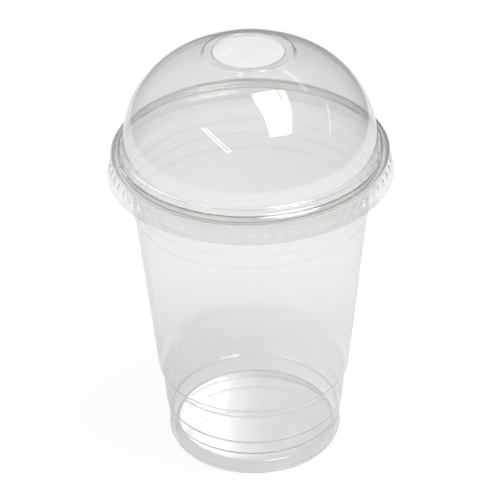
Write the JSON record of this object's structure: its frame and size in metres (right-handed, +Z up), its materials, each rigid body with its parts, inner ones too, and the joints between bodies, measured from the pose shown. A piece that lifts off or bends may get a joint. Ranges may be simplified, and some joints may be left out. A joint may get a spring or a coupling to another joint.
{
  "type": "plastic cup with lid",
  "caption": "Clear tapered drinks cup with rolled rim and stacking shoulder, and a press-on domed lid with a central straw hole and fluted skirt.",
  "frame": {"origin": "centre of the foot's contact ring, on the surface that the cup stands on", "axes": "+Z up along the shared axis of cup and lid; the shape is the same all round, so X and Y are free"},
  "size_m": [0.1016, 0.1016, 0.1597],
  "materials": {
    "cup_plastic": "clear thermoformed PET, glossy",
    "lid_plastic": "clear thermoformed PET, glossy"
  },
  "bodies": {
    "cup": {"cup": "cup_plastic"},
    "lid": {"dome_lid": "lid_plastic"}
  },
  "joints": [
    {"name": "lid_lift", "type": "slide", "parent": "cup", "child": "lid", "axis": [0, 0, 1], "range_m": [0, 0.06]}
  ]
}
